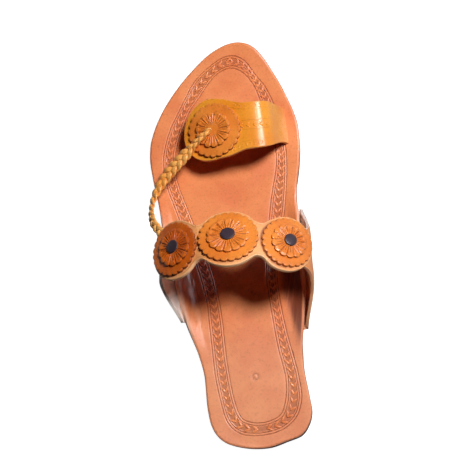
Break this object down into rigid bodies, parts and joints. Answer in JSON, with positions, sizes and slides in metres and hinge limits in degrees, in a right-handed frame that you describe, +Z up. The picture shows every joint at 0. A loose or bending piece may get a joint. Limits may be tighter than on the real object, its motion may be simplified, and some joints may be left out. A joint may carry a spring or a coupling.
{
  "type": "kolhapuri sandal",
  "caption": "Flat leather toe-ring sandal for the left foot, with a tooled insole, a strap of three rosette lobes, a toe band and a braided side strap.",
  "frame": {"origin": "on the ground under the middle of the heel", "axes": "+Y from the heel to the toe, +X to the inner (big toe) side, +Z up"},
  "size_m": [0.1004, 0.2628, 0.0759],
  "materials": {
    "insole_leather": "satin",
    "sole_leather": "matte",
    "upper_leather": "satin",
    "band_leather": "satin",
    "rosette_leather": "satin",
    "centre_leather": "satin",
    "braid_leather": "satin"
  },
  "bodies": {
    "root": {"outsole": "sole_leather", "heel_lift_1": "sole_leather", "heel_lift_2": "sole_leather", "insole": "insole_leather", "ear_lateral": "upper_leather", "ear_medial": "upper_leather", "instep_strap": "upper_leather", "toe_band": "band_leather", "toe_post": "upper_leather", "rosette_disc_lateral": "rosette_leather", "rosette_disc_middle": "rosette_leather", "rosette_disc_medial": "rosette_leather", "rosette_disc_toe": "rosette_leather", "flower_lateral": "rosette_leather", "flower_middle": "rosette_leather", "flower_medial": "rosette_leather", "flower_toe": "rosette_leather", "flower_centre_lateral": "centre_leather", "flower_centre_middle": "centre_leather", "flower_centre_medial": "centre_leather", "braid": "braid_leather"}
  },
  "joints": []
}
